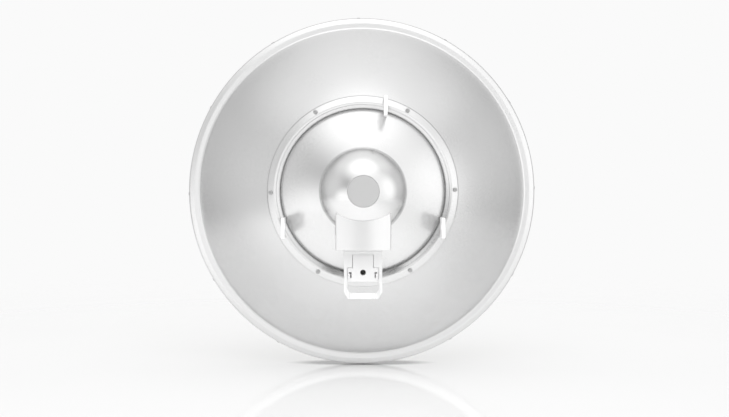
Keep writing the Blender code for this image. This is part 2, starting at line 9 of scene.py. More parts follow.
import bmesh
import bpy
from bpy.props import FloatProperty, FloatVectorProperty, IntProperty, PointerProperty
from mathutils import Matrix, Vector


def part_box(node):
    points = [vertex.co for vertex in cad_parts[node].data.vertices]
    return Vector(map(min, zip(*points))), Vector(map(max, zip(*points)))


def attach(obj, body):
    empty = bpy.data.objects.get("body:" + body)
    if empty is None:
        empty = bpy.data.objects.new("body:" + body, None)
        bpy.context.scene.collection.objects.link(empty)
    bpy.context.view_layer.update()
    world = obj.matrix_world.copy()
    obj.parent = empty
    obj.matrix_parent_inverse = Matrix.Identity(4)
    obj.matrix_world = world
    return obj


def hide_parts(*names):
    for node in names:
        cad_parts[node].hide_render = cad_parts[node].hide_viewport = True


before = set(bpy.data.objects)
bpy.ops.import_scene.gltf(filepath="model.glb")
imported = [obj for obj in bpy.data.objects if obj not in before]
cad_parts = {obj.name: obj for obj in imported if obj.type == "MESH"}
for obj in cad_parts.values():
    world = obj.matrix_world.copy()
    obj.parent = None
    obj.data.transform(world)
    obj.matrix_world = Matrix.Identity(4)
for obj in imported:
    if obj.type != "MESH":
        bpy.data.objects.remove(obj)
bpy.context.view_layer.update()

bl_info = {
    "name": "Dish antenna looks",
    "version": (1, 0, 0),
    "blender": (4, 5, 0),
    "location": "View3D > Sidebar > Dish",
    "description": "Builds the finished surfaces of a dish antenna around its frame",
    "category": "Object",
}

HEAD = "dish_head"
BRACKET = "pole_bracket"

# Places read from the frame
BAND_LOW, BAND_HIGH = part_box("rim_band")
RIM_R = (BAND_HIGH.x - BAND_LOW.x) / 2
AXIS_Z = (BAND_HIGH.z + BAND_LOW.z) / 2
RIM_Y = BAND_HIGH.y
RIM_CENTRE = Vector((0.0, RIM_Y, AXIS_Z))
FLOOR_Z = BAND_LOW.z - 0.0004

# Sizes from the rim centre, as the solids have them
GAP = 0.0003
DISH_VERTEX_Y = -0.2065
DISH_FOUR_FOCAL = 0.4966
SHEET = 0.0020
OUTER_FRONT_R = 0.3180
OUTER_BACK_R = 0.1588
INNER_R = 0.1434
INNER_HOLE_R = 0.0200
INNER_EDGE_RISE = 0.0015
INNER_LIP_Y = -0.1642
INNER_LIP_R = 0.1484
BAND_LIP_R = 0.3045
VISOR_REACH = 0.0207
VISOR_START = math.radians(15.0)
VISOR_FULL = math.radians(20.0)
RADOME_R = 0.3216
RADOME_EDGE_Y = 0.0034
RADOME_CROWN = 0.0446
RADOME_SHEET = 0.0028
RADOME_SKIRT_Y = -0.0045
RING_R = 0.1560
RING_TUBE_R = 0.0104
RING_Y = -0.1665
DOME_R = 0.0756
DOME_DEPTH = 0.0570
DOME_CENTRE_Y = -0.2031
DOME_FRONT_Y = -0.1964
DOME_SHEET = 0.0030
DOME_CAP_R = 0.0267
SHROUD_HALF = 0.0468
SHROUD_BACK_Y = -0.2465
SHROUD_EDGE_Y = -0.2395
SHROUD_WALL = 0.0030
SHROUD_BOTTOM_Z = -0.0985
SHROUD_FRONT_Y = -0.1880
ARM_BACK_Y = -0.1987
ARM_BORE_Y = -0.1890
TONGUE_HOLE_Z = -0.1390
TONGUE_HOLE_R = 0.0049
TONGUE_HOOK = (
    (0.0196, -0.1383),
    (0.0243, -0.1383),
    (0.0243, -0.1408),
    (0.0222, -0.1408),
    (0.0222, -0.1488),
    (0.0196, -0.1488),
)

# The camera stands where the photograph's rear view was taken from
CAMERA_BACK = 2.146
CAMERA_LENS = 56.1
CAMERA_ASIDE = Vector((-0.026, 0.0, 0.008))
CAMERA_SENSOR = 36.0
PHOTO_WIDTH = 729
PHOTO_HEIGHT = 417
DISH_PIXEL_X = 361.6
DISH_PIXEL_Y = 190.8


# Soft boxes of the studio: angle away from the camera's side, angle round the dish from +X,
# half width and strength
SOFT_BOXES = {
    "camera side": (0.0, 0.0, 36.0, 0.75),
    "right window": (44.0, 0.0, 42.0, 1.40),
    "top window": (44.0, 90.0, 42.0, 1.25),
    "low left window": (43.0, 220.0, 38.0, 2.00),
    "overhead": (80.0, 90.0, 62.0, 1.20),
    "right wall": (82.0, 18.0, 50.0, 0.70),
    "left wall": (82.0, 162.0, 50.0, 0.62),
    "low right wall": (75.0, 310.0, 45.0, 0.20),
    "left fill": (60.0, 180.0, 45.0, 0.22),
    "backdrop": (180.0, 0.0, 60.0, 0.56),
}
ROOM_LIGHT = 0.40
FLOOR_BASE = 0.76
FLOOR_GLOW = 0.70
FLOOR_GLOW_FAR = 0.20
FLOOR_GLOW_NEAR = 0.22
FLOOR_GLOW_SEEN = 0.16

# Painted shade under the rim, where the dish stands on the floor: an ellipse that darkens the floor's
# colour and glow
FLOOR_SHADE = 0.30
SHADE_WIDE = 0.150
SHADE_DEEP = 0.040
SHADE_BEHIND = -0.008


class DishLooks(bpy.types.PropertyGroup):
    around: IntProperty(
        name="Steps round the dish",
        description="Faces round each large turned sheet",
        default=240,
        min=48,
        max=360,
    )
    edge: FloatProperty(
        name="Soft edge",
        description="Radius of the edges of the mouldings",
        default=0.0007,
        min=0.0001,
        max=0.003,
        unit="LENGTH",
    )
    silver: FloatVectorProperty(
        name="Silver paint",
        description="Colour of the reflector's satin paint",
        default=(0.61, 0.61, 0.61),
        subtype="COLOR",
        min=0.0,
        max=1.0,
    )
    housing: FloatVectorProperty(
        name="Housing paint",
        description="Colour of the rear dome's satin paint",
        default=(0.62, 0.62, 0.62),
        subtype="COLOR",
        min=0.0,
        max=1.0,
    )
    band: FloatVectorProperty(
        name="Brushed band",
        description="Colour of the bare brushed rim band",
        default=(0.66, 0.66, 0.66),
        subtype="COLOR",
        min=0.0,
        max=1.0,
    )
    radome: FloatVectorProperty(
        name="Radome",
        description="Colour of the radome's matte moulding",
        default=(0.76, 0.75, 0.72),
        subtype="COLOR",
        min=0.0,
        max=1.0,
    )
    white: FloatVectorProperty(
        name="White moulding",
        description="Colour of the shroud, the lugs and the pole bracket",
        default=(0.77, 0.77, 0.77),
        subtype="COLOR",
        min=0.0,
        max=1.0,
    )
    # The lugs' white moulding, set brighter than the other white mouldings: the extra brightness is
    # painted light, so the lugs and their reflections in the panels read lighter
    lug: FloatVectorProperty(
        name="Lugs",
        description="Colour of the three lugs' bright white moulding",
        default=(0.93, 0.93, 0.93),
        subtype="COLOR",
        min=0.0,
        max=1.0,
    )
    shroud: FloatVectorProperty(
        name="Shroud",
        description="Colour of the shroud's pearl white finish",
        default=(0.675, 0.675, 0.675),
        subtype="COLOR",
        min=0.0,
        max=1.0,
    )
    cap: FloatVectorProperty(
        name="Cap disc",
        description="Colour of the flat disc in the dome's middle",
        default=(0.43, 0.43, 0.43),
        subtype="COLOR",
        min=0.0,
        max=1.0,
    )
    # Also the colour of the painted shade disc at the bottom of the bracket's bore
    dark: FloatVectorProperty(
        name="Dark moulding",
        description="Colour of the shroud's inside",
        default=(0.045, 0.045, 0.043),
        subtype="COLOR",
        min=0.0,
        max=1.0,
    )
    rim_screw: FloatProperty(
        name="Rim screw",
        description="Radius of the countersunk screws in the rim band",
        default=0.0030,
        min=0.001,
        max=0.01,
        unit="LENGTH",
    )
    ring_bolt: FloatProperty(
        name="Ring bolt",
        description="Radius of the pan heads on the back ring",
        default=0.0037,
        min=0.001,
        max=0.01,
        unit="LENGTH",
    )


def looks():
    return bpy.context.scene.dish_looks


# Outlines


def steps(first, last, count):
    return [first + (last - first) * i / count for i in range(count + 1)]


def dish_y(radius):
    return DISH_VERTEX_Y + radius * radius / DISH_FOUR_FOCAL


def dome_radius(y):
    """Radius of the dome's outer side at a distance from the rim plane."""
    if y > DOME_CENTRE_Y:
        return DOME_R
    share = min(1.0, (DOME_CENTRE_Y - y) / DOME_DEPTH)
    return DOME_R * math.sqrt(1.0 - share * share)


def rounded(corners, closed=True, count=4):
    """An outline whose corners are (u, v, fillet radius), with each fillet as an arc."""
    out = []
    total = len(corners)
    for i, (u, v, radius) in enumerate(corners):
        here = Vector((u, v))
        if radius <= 0.0 or (not closed and i in (0, total - 1)):
            out.append((u, v))
            continue
        before = Vector(corners[i - 1][:2]) - here
        after = Vector(corners[(i + 1) % total][:2]) - here
        half = before.angle(after) / 2
        reach = min(radius / math.tan(half), before.length * 0.49, after.length * 0.49)
        start = here + before.normalized() * reach
        end = here + after.normalized() * reach
        for t in steps(0.0, 1.0, count):
            point = (1 - t) ** 2 * start + 2 * t * (1 - t) * here + t * t * end
            out.append((point.x, point.y))
    return out


def offset(line, distance):
    """An open line moved sideways, to the left of its direction."""
    out = []
    for i, (u, v) in enumerate(line):
        before = Vector(line[max(i - 1, 0)])
        after = Vector(line[min(i + 1, len(line) - 1)])
        along = (after - before).normalized()
        out.append((u - along.y * distance, v + along.x * distance))
    return out


def sheet_section(outer, thickness, edge=0.0006):
    """A closed section of sheet metal with rounded edges, from its outer line."""
    inner = offset(outer, thickness)
    if inner[len(inner) // 2][0] > outer[len(outer) // 2][0]:
        inner = offset(outer, -thickness)
    corners = [(*outer[0], edge)]
    corners += [(*point, 0.0) for point in outer[1:-1]]
    corners += [(*outer[-1], edge), (*inner[-1], edge)]
    corners += [(*point, 0.0) for point in reversed(inner[1:-1])]
    corners += [(*inner[0], edge)]
    return rounded(corners, count=3)


# Meshes


def new_object(name, mesh):
    obj = bpy.data.objects.new(name, mesh)
    bpy.context.scene.collection.objects.link(obj)
    return obj


def mesh_from(name, shape, smooth_angle=35.0):
    bmesh.ops.recalc_face_normals(shape, faces=shape.faces)
    mesh = bpy.data.meshes.new(name)
    shape.to_mesh(mesh)
    shape.free()
    mesh.shade_smooth()
    mesh.set_sharp_from_angle(angle=math.radians(smooth_angle))
    return mesh


def lofted(name, section_at, around, closed_section=True):
    """A ring of sections round the dish's axis. section_at(angle) gives (radius, y) points, and a
    point on the axis becomes a pole."""
    shape = bmesh.new()
    rows = []
    poles = {}
    for i in range(around):
        angle = 2 * math.pi * i / around
        row = []
        for j, (radius, y) in enumerate(section_at(angle)):
            if radius < 1e-7:
                if j not in poles:
                    poles[j] = shape.verts.new(RIM_CENTRE + Vector((0.0, y, 0.0)))
                row.append(poles[j])
                continue
            place = Vector((radius * math.cos(angle), y, radius * math.sin(angle)))
            row.append(shape.verts.new(RIM_CENTRE + place))
        rows.append(row)
    count = len(rows[0])
    last = count if closed_section else count - 1
    for i in range(around):
        near = rows[i]
        far = rows[(i + 1) % around]
        for j in range(last):
            k = (j + 1) % count
            corners = [near[j], near[k], far[k], far[j]]
            unique = [v for n, v in enumerate(corners) if v not in corners[:n]]
            if len(unique) > 2:
                shape.faces.new(unique)
    return mesh_from(name, shape)


def turned(name, section, around=None):
    closed = section[0][0] > 1e-7 or section[-1][0] > 1e-7
    return lofted(name, lambda angle: section, around or looks().around, closed)


def apply_modifiers(obj):
    """Replace the object's mesh with its evaluated one and drop its modifiers."""
    bpy.context.view_layer.update()
    graph = bpy.context.evaluated_depsgraph_get()
    mesh = bpy.data.meshes.new_from_object(obj.evaluated_get(graph))
    obj.modifiers.clear()
    obj.data = mesh
    return obj


def boolean(obj, tools, operation="DIFFERENCE"):
    for tool in tools:
        modifier = obj.modifiers.new("cut", "BOOLEAN")
        modifier.operation = operation
        modifier.solver = "EXACT"
        modifier.object = tool
    apply_modifiers(obj)
    for tool in tools:
        bpy.data.objects.remove(tool)
    obj.data.shade_smooth()
    obj.data.set_sharp_from_angle(angle=math.radians(35.0))
    return obj


def box_tool(low, high):
    """A box between two corners measured from the rim centre."""
    shape = bmesh.new()
    bmesh.ops.create_cube(shape, size=1.0)
    low = Vector(low)
    high = Vector(high)
    bmesh.ops.scale(shape, vec=high - low, verts=shape.verts)
    bmesh.ops.translate(shape, vec=RIM_CENTRE + (low + high) / 2, verts=shape.verts)
    return new_object("tool", mesh_from("tool", shape))


def slab_tool(outline, front_y, back_y):
    """A flat (x, z) outline measured from the rim centre, as a slab between two depths."""
    shape = bmesh.new()
    rims = []
    for y in (front_y, back_y):
        rims.append([shape.verts.new(RIM_CENTRE + Vector((x, y, z))) for x, z in outline])
    shape.faces.new(rims[0])
    shape.faces.new(list(reversed(rims[1])))
    count = len(outline)
    for i in range(count):
        j = (i + 1) % count
        shape.faces.new((rims[0][i], rims[0][j], rims[1][j], rims[1][i]))
    return new_object("tool", mesh_from("tool", shape))


def rod_mesh(name, radius, start, end, sides=48):
    """A round bar between two points measured from the rim centre."""
    start = Vector(start)
    end = Vector(end)
    shape = bmesh.new()
    bmesh.ops.create_cone(
        shape, cap_ends=True, segments=sides, radius1=radius, radius2=radius,
        depth=(end - start).length,
    )
    turn = (end - start).to_track_quat("Z", "Y").to_matrix().to_4x4()
    place = Matrix.Translation(RIM_CENTRE + (start + end) / 2) @ turn
    bmesh.ops.transform(shape, matrix=place, verts=shape.verts)
    return mesh_from(name, shape)


def softened(node, name, edge=None, segments=3, tools=()):
    """A copy of a solid with its flat faces made whole and its edges rounded."""
    shape = bmesh.new()
    shape.from_mesh(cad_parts[node].data)
    bmesh.ops.remove_doubles(shape, verts=shape.verts, dist=0.00001)
    bmesh.ops.dissolve_limit(
        shape, angle_limit=math.radians(0.6), verts=shape.verts, edges=shape.edges
    )
    mesh = bpy.data.meshes.new(name)
    shape.to_mesh(mesh)
    shape.free()
    obj = new_object(name, mesh)
    if tools:
        boolean(obj, tools)
    bevel = obj.modifiers.new("edges", "BEVEL")
    bevel.width = edge or looks().edge
    bevel.segments = segments
    bevel.limit_method = "ANGLE"
    bevel.angle_limit = math.radians(28.0)
    apply_modifiers(obj)
    obj.data.shade_smooth()
    obj.data.set_sharp_from_angle(angle=math.radians(30.0))
    weighted = obj.modifiers.new("normals", "WEIGHTED_NORMAL")
    weighted.keep_sharp = True
    weighted.weight = 100
    return apply_modifiers(obj)


def finish_piece(obj, body, material, replaced=()):
    obj.data.materials.clear()
    obj.data.materials.append(material)
    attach(obj, body)
    if replaced:
        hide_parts(*replaced)
    return obj


# Shader node groups


def group_socket(group, name, kind, direction, default=None):
    socket = group.interface.new_socket(name=name, in_out=direction, socket_type=kind)
    if default is not None:
        socket.default_value = default
    return socket


def math_node(nodes, links, operation, *inputs):
    node = nodes.new("ShaderNodeMath")
    node.operation = operation
    for i, value in enumerate(inputs):
        if isinstance(value, (int, float)):
            node.inputs[i].default_value = value
        else:
            links.new(value, node.inputs[i])
    return node.outputs[0]


def satin_grain_group():
    """Slight mottling of colour, roughness and height, as on sprayed paint and moulded plastic."""
    group = bpy.data.node_groups.get("satin_grain")
    if group:
        return group
    group = bpy.data.node_groups.new("satin_grain", "ShaderNodeTree")
    group_socket(group, "Colour", "NodeSocketColor", "INPUT", (0.8, 0.8, 0.8, 1.0))
    group_socket(group, "Roughness", "NodeSocketFloat", "INPUT", 0.4)
    group_socket(group, "Grain Scale", "NodeSocketFloat", "INPUT", 900.0)
    group_socket(group, "Cloud Scale", "NodeSocketFloat", "INPUT", 9.0)
    group_socket(group, "Colour Spread", "NodeSocketFloat", "INPUT", 0.03)
    group_socket(group, "Roughness Spread", "NodeSocketFloat", "INPUT", 0.08)
    group_socket(group, "Colour", "NodeSocketColor", "OUTPUT")
    group_socket(group, "Roughness", "NodeSocketFloat", "OUTPUT")
    group_socket(group, "Height", "NodeSocketFloat", "OUTPUT")
    nodes, links = group.nodes, group.links
    given = nodes.new("NodeGroupInput")
    result = nodes.new("NodeGroupOutput")
    place = nodes.new("ShaderNodeTexCoord")
    grain = nodes.new("ShaderNodeTexNoise")
    grain.inputs["Detail"].default_value = 3.0
    links.new(place.outputs["Object"], grain.inputs["Vector"])
    links.new(given.outputs["Grain Scale"], grain.inputs["Scale"])
    cloud = nodes.new("ShaderNodeTexNoise")
    cloud.inputs["Detail"].default_value = 2.0
    links.new(place.outputs["Object"], cloud.inputs["Vector"])
    links.new(given.outputs["Cloud Scale"], cloud.inputs["Scale"])
    mixed = math_node(nodes, links, "ADD", grain.outputs["Fac"], cloud.outputs["Fac"])
    centred = math_node(nodes, links, "SUBTRACT", mixed, 1.0)
    shade = math_node(nodes, links, "MULTIPLY", centred, given.outputs["Colour Spread"])
    value = math_node(nodes, links, "ADD", shade, 1.0)
    tint = nodes.new("ShaderNodeVectorMath")
    tint.operation = "SCALE"
    links.new(given.outputs["Colour"], tint.inputs[0])
    links.new(value, tint.inputs["Scale"])
    links.new(tint.outputs[0], result.inputs["Colour"])
    rough = math_node(nodes, links, "MULTIPLY", centred, given.outputs["Roughness Spread"])
    total = math_node(nodes, links, "ADD", rough, given.outputs["Roughness"])
    links.new(total, result.inputs["Roughness"])
    links.new(grain.outputs["Fac"], result.inputs["Height"])
    return group


def round_brushing_group():
    """Fine streaks that run round the dish's axis, as a turned or brushed band has."""
    group = bpy.data.node_groups.get("round_brushing")
    if group:
        return group
    group = bpy.data.node_groups.new("round_brushing", "ShaderNodeTree")
    group_socket(group, "Colour", "NodeSocketColor", "INPUT", (0.8, 0.8, 0.8, 1.0))
    group_socket(group, "Roughness", "NodeSocketFloat", "INPUT", 0.3)
    group_socket(group, "Centre", "NodeSocketVector", "INPUT")
    group_socket(group, "Streaks", "NodeSocketFloat", "INPUT", 2600.0)
    group_socket(group, "Colour Spread", "NodeSocketFloat", "INPUT", 0.10)
    group_socket(group, "Roughness Spread", "NodeSocketFloat", "INPUT", 0.12)
    group_socket(group, "Colour", "NodeSocketColor", "OUTPUT")
    group_socket(group, "Roughness", "NodeSocketFloat", "OUTPUT")
    group_socket(group, "Height", "NodeSocketFloat", "OUTPUT")
    nodes, links = group.nodes, group.links
    given = nodes.new("NodeGroupInput")
    result = nodes.new("NodeGroupOutput")
    place = nodes.new("ShaderNodeTexCoord")
    local = nodes.new("ShaderNodeVectorMath")
    local.operation = "SUBTRACT"
    links.new(place.outputs["Object"], local.inputs[0])
    links.new(given.outputs["Centre"], local.inputs[1])
    parts = nodes.new("ShaderNodeSeparateXYZ")
    links.new(local.outputs[0], parts.inputs[0])
    squared_x = math_node(nodes, links, "MULTIPLY", parts.outputs["X"], parts.outputs["X"])
    squared_z = math_node(nodes, links, "MULTIPLY", parts.outputs["Z"], parts.outputs["Z"])
    radius = math_node(nodes, links, "SQRT", math_node(nodes, links, "ADD", squared_x, squared_z))
    angle = math_node(nodes, links, "ARCTAN2", parts.outputs["Z"], parts.outputs["X"])
    folded = math_node(nodes, links, "COSINE", angle)
    folded_two = math_node(nodes, links, "SINE", angle)
    across = math_node(nodes, links, "ADD", radius, parts.outputs["Y"])
    stripe = math_node(nodes, links, "MULTIPLY", across, given.outputs["Streaks"])
    joined = nodes.new("ShaderNodeCombineXYZ")
    links.new(math_node(nodes, links, "MULTIPLY", folded, 5.0), joined.inputs["X"])
    links.new(math_node(nodes, links, "MULTIPLY", folded_two, 5.0), joined.inputs["Y"])
    links.new(stripe, joined.inputs["Z"])
    streak = nodes.new("ShaderNodeTexNoise")
    streak.inputs["Scale"].default_value = 1.0
    streak.inputs["Detail"].default_value = 4.0
    links.new(joined.outputs[0], streak.inputs["Vector"])
    centred = math_node(nodes, links, "SUBTRACT", streak.outputs["Fac"], 0.5)
    shade = math_node(nodes, links, "MULTIPLY", centred, given.outputs["Colour Spread"])
    value = math_node(nodes, links, "ADD", shade, 1.0)
    tint = nodes.new("ShaderNodeVectorMath")
    tint.operation = "SCALE"
    links.new(given.outputs["Colour"], tint.inputs[0])
    links.new(value, tint.inputs["Scale"])
    links.new(tint.outputs[0], result.inputs["Colour"])
    rough = math_node(nodes, links, "MULTIPLY", centred, given.outputs["Roughness Spread"])
    total = math_node(nodes, links, "ADD", rough, given.outputs["Roughness"])
    links.new(total, result.inputs["Roughness"])
    links.new(streak.outputs["Fac"], result.inputs["Height"])
    return group


def finish_material(name, group, colour, metallic, bump, **values):
    """A material whose colour, roughness and height come from a group, under one shader."""
    material = bpy.data.materials.get(name)
    if material:
        return material
    material = bpy.data.materials.new(name)
    material.use_nodes = True
    nodes, links = material.node_tree.nodes, material.node_tree.links
    shader = nodes["Principled BSDF"]
    shader.inputs["Metallic"].default_value = metallic
    effect = nodes.new("ShaderNodeGroup")
    effect.node_tree = group
    effect.inputs["Colour"].default_value = (*colour, 1.0)
    for key, value in values.items():
        socket = key.replace("_", " ").title()
        if socket in effect.inputs:
            effect.inputs[socket].default_value = value
        else:
            shader.inputs[socket].default_value = value
    raised = nodes.new("ShaderNodeBump")
    raised.inputs["Strength"].default_value = bump
    raised.inputs["Distance"].default_value = 0.0001
    links.new(effect.outputs["Colour"], shader.inputs["Base Color"])
    links.new(effect.outputs["Roughness"], shader.inputs["Roughness"])
    links.new(effect.outputs["Height"], raised.inputs["Height"])
    links.new(raised.outputs["Normal"], shader.inputs["Normal"])
    return material


def silver_paint():
    return finish_material(
        "satin_silver", satin_grain_group(), looks().silver, 0.85, 0.05,
        roughness=0.28, grain_scale=1400.0,
    )


def housing_paint():
    return finish_material(
        "satin_housing", satin_grain_group(), looks().housing, 0.85, 0.05,
        roughness=0.22, grain_scale=1600.0,
    )


def brushed_band():
    return finish_material(
        "brushed_sheet", round_brushing_group(), looks().band, 0.85, 0.12,
        roughness=0.34, centre=RIM_CENTRE,
    )


def radome_moulding():
    return finish_material(
        "radome_finish", satin_grain_group(), looks().radome, 0.0, 0.08,
        roughness=0.55, grain_scale=1100.0,
    )


def white_moulding():
    return finish_material(
        "white_finish", satin_grain_group(), looks().white, 0.0, 0.06,
        roughness=0.42, grain_scale=1800.0,
    )


# White moulding made brighter than the other white mouldings: partly the lugs' own white, partly
# painted light
def lug_white_with_painted_light():
    return finish_material(
        "lug_white_painted_lighter", satin_grain_group(), looks().lug, 0.0, 0.06,
        roughness=0.42, grain_scale=1800.0,
    )


def pearl_moulding():
    return finish_material(
        "pearl_finish", satin_grain_group(), looks().shroud, 0.85, 0.04,
        roughness=0.30, grain_scale=1800.0,
    )


def cap_disc():
    return finish_material(
        "cap_disc", satin_grain_group(), looks().cap, 0.0, 0.04,
        roughness=0.6, grain_scale=1800.0,
    )


# The shroud liner's own dark colour, also used as painted shade on the disc at the bottom of the
# bracket's bore
def dark_liner_and_bore_shade():
    return finish_material(
        "liner_dark_and_painted_bore_shade", satin_grain_group(), looks().dark, 0.0, 0.15,
        roughness=0.55, grain_scale=1500.0,
    )


def fastener_steel():
    return finish_material(
        "fastener_steel", satin_grain_group(), (0.38, 0.38, 0.38), 1.0, 0.05,
        roughness=0.32, grain_scale=2500.0,
    )


# Near black standing in for the shade inside holes and recesses: painted shade
def painted_recess_shade():
    return finish_material(
        "painted_recess_shade", satin_grain_group(), (0.03, 0.03, 0.03), 0.0, 0.05,
        roughness=0.6, grain_scale=2500.0,
    )


# Screws set in circles


def screw_circle_tree():
    """Copies of one screw on a circle round the dish's axis, heads outwards or rearwards."""
    tree = bpy.data.node_groups.get("screw_circle")
    if tree:
        return tree
    tree = bpy.data.node_groups.new("screw_circle", "GeometryNodeTree")
    tree.is_modifier = True
    group_socket(tree, "Geometry", "NodeSocketGeometry", "INPUT")
    group_socket(tree, "Screw", "NodeSocketObject", "INPUT")
    group_socket(tree, "Count", "NodeSocketInt", "INPUT", 12)
    group_socket(tree, "Circle Radius", "NodeSocketFloat", "INPUT", 0.3)
    group_socket(tree, "Turn", "NodeSocketFloat", "INPUT", 0.0)
    group_socket(tree, "Centre", "NodeSocketVector", "INPUT")
    group_socket(tree, "Facing Rear", "NodeSocketBool", "INPUT", False)
    group_socket(tree, "Seed", "NodeSocketInt", "INPUT", 3)
    group_socket(tree, "Material", "NodeSocketMaterial", "INPUT")
    group_socket(tree, "Geometry", "NodeSocketGeometry", "OUTPUT")
    nodes, links = tree.nodes, tree.links
    given = nodes.new("NodeGroupInput")
    result = nodes.new("NodeGroupOutput")
    circle = nodes.new("GeometryNodeMeshCircle")
    links.new(given.outputs["Count"], circle.inputs["Vertices"])
    links.new(given.outputs["Circle Radius"], circle.inputs["Radius"])
    stand = nodes.new("ShaderNodeCombineXYZ")
    stand.inputs["X"].default_value = math.pi / 2
    back = nodes.new("ShaderNodeMath")
    back.operation = "MULTIPLY"
    back.inputs[1].default_value = -1.0
    links.new(given.outputs["Turn"], back.inputs[0])
    links.new(back.outputs[0], stand.inputs["Y"])
    upright = nodes.new("GeometryNodeTransform")
    links.new(circle.outputs["Mesh"], upright.inputs["Geometry"])
    links.new(stand.outputs[0], upright.inputs["Rotation"])
    place = nodes.new("GeometryNodeInputPosition")
    choose = nodes.new("GeometryNodeSwitch")
    choose.input_type = "VECTOR"
    choose.inputs["True"].default_value = (0.0, -1.0, 0.0)
    links.new(given.outputs["Facing Rear"], choose.inputs["Switch"])
    links.new(place.outputs[0], choose.inputs["False"])
    align = nodes.new("FunctionNodeAlignRotationToVector")
    align.axis = "Z"
    links.new(choose.outputs[0], align.inputs["Vector"])
    spin = nodes.new("FunctionNodeRandomValue")
    spin.data_type = "FLOAT"
    spin.inputs["Max"].default_value = math.pi / 2
    links.new(given.outputs["Seed"], spin.inputs["Seed"])
    euler = nodes.new("ShaderNodeCombineXYZ")
    random_out = [s for s in spin.outputs if s.enabled][0]
    links.new(random_out, euler.inputs["Z"])
    own = nodes.new("FunctionNodeEulerToRotation")
    links.new(euler.outputs[0], own.inputs[0])
    rotate = nodes.new("FunctionNodeRotateRotation")
    rotate.rotation_space = "LOCAL"
    links.new(align.outputs["Rotation"], rotate.inputs["Rotation"])
    links.new(own.outputs[0], rotate.inputs["Rotate By"])
    screw = nodes.new("GeometryNodeObjectInfo")
    links.new(given.outputs["Screw"], screw.inputs["Object"])
    copies = nodes.new("GeometryNodeInstanceOnPoints")
    links.new(upright.outputs["Geometry"], copies.inputs["Points"])
    links.new(screw.outputs["Geometry"], copies.inputs["Instance"])
    links.new(rotate.outputs[0], copies.inputs["Rotation"])
    move = nodes.new("GeometryNodeTransform")
    links.new(copies.outputs["Instances"], move.inputs["Geometry"])
    links.new(given.outputs["Centre"], move.inputs["Translation"])
    real = nodes.new("GeometryNodeRealizeInstances")
    links.new(move.outputs["Geometry"], real.inputs["Geometry"])
    finish = nodes.new("GeometryNodeSetMaterial")
    links.new(real.outputs["Geometry"], finish.inputs["Geometry"])
    links.new(given.outputs["Material"], finish.inputs["Material"])
    links.new(finish.outputs["Geometry"], result.inputs["Geometry"])
    return tree


def cross_head(name, radius, height, depth):
    """A pan head with a cross recess, its top along +Z and its seat on the plane Z = 0."""
    section = rounded(
        [(radius, -depth, 0.0), (radius, height, height * 0.55), (0.0, height * 1.15, 0.0)],
        closed=False,
        count=4,
    )
    shape = bmesh.new()
    around = 24
    rows = []
    top = shape.verts.new((0.0, 0.0, section[-1][1]))
    bottom = shape.verts.new((0.0, 0.0, -depth))
    for i in range(around):
        angle = 2 * math.pi * i / around
        rows.append([
            shape.verts.new((r * math.cos(angle), r * math.sin(angle), z))
            for r, z in section[:-1]
        ])
    for i in range(around):
        near = rows[i]
        far = rows[(i + 1) % around]
        for j in range(len(near) - 1):
            shape.faces.new((near[j], near[j + 1], far[j + 1], far[j]))
        shape.faces.new((near[-1], top, far[-1]))
        shape.faces.new((near[0], far[0], bottom))
    screw = new_object(name, mesh_from(name, shape))
    arm = radius * 0.56
    width = radius * 0.15
    tools = []
    for size in ((arm, width), (width, arm)):
        shape = bmesh.new()
        bmesh.ops.create_cube(shape, size=2.0)
        bmesh.ops.scale(shape, vec=(size[0], size[1], radius * 0.4), verts=shape.verts)
        bmesh.ops.translate(shape, vec=(0.0, 0.0, height * 1.1), verts=shape.verts)
        tools.append(new_object("tool", mesh_from("tool", shape)))
    return boolean(screw, tools)


def screw_circle(name, screw, count, radius, turn, y, facing_rear, material, seed=3):
    """Fill a circle with screws by Geometry Nodes, and keep the result as a plain mesh."""
    host = new_object(name, bpy.data.meshes.new(name))
    modifier = host.modifiers.new("screws", "NODES")
    tree = screw_circle_tree()
    modifier.node_group = tree
    values = {
        "Screw": screw,
        "Count": count,
        "Circle Radius": radius,
        "Turn": turn,
        "Centre": RIM_CENTRE + Vector((0.0, y, 0.0)),
        "Facing Rear": facing_rear,
        "Seed": seed,
        "Material": material,
    }
    for item in tree.interface.items_tree:
        if item.in_out == "INPUT" and item.name in values:
            modifier[item.identifier] = values[item.name]
    apply_modifiers(host)
    bpy.data.objects.remove(screw)
    return host


# Operators


class DISH_OT_reflector(bpy.types.Operator):
    """Build the outer and the inner reflector panels"""

    bl_idname = "dish.reflector"
    bl_label = "Reflector panels"

    def execute(self, context):
        outer = [(r, dish_y(r)) for r in steps(OUTER_FRONT_R, OUTER_BACK_R, 40)]
        panel = new_object(
            "outer_panel", turned("outer_panel", sheet_section(outer, SHEET))
        )
        finish_piece(panel, HEAD, silver_paint(), ["outer_reflector"])
        line = [(INNER_LIP_R, INNER_LIP_Y, 0.0), (INNER_R, INNER_LIP_Y, 0.0010)]
        line.append((INNER_R, dish_y(INNER_R) - INNER_EDGE_RISE - 0.0003, 0.0022))
        for r in steps(INNER_R - 0.0028, INNER_HOLE_R, 34):
            line.append((r, dish_y(r) - INNER_EDGE_RISE * (r / INNER_R) ** 4, 0.0))
        section = sheet_section(rounded(line, closed=False), SHEET, 0.0004)
        panel = new_object("inner_panel", turned("inner_panel", section))
        finish_piece(panel, HEAD, silver_paint(), ["inner_reflector"])
        return {"FINISHED"}


def visor_edge(angle):
    """How far the band reaches forward of the rim plane at an angle round the dish."""
    height = math.asin(max(-1.0, min(1.0, math.sin(angle))))
    ramp = (height - VISOR_START) / (VISOR_FULL - VISOR_START)
    ramp = max(0.0, min(1.0, ramp))
    return VISOR_REACH * math.sin(ramp * math.pi / 2) if ramp < 1.0 else VISOR_REACH


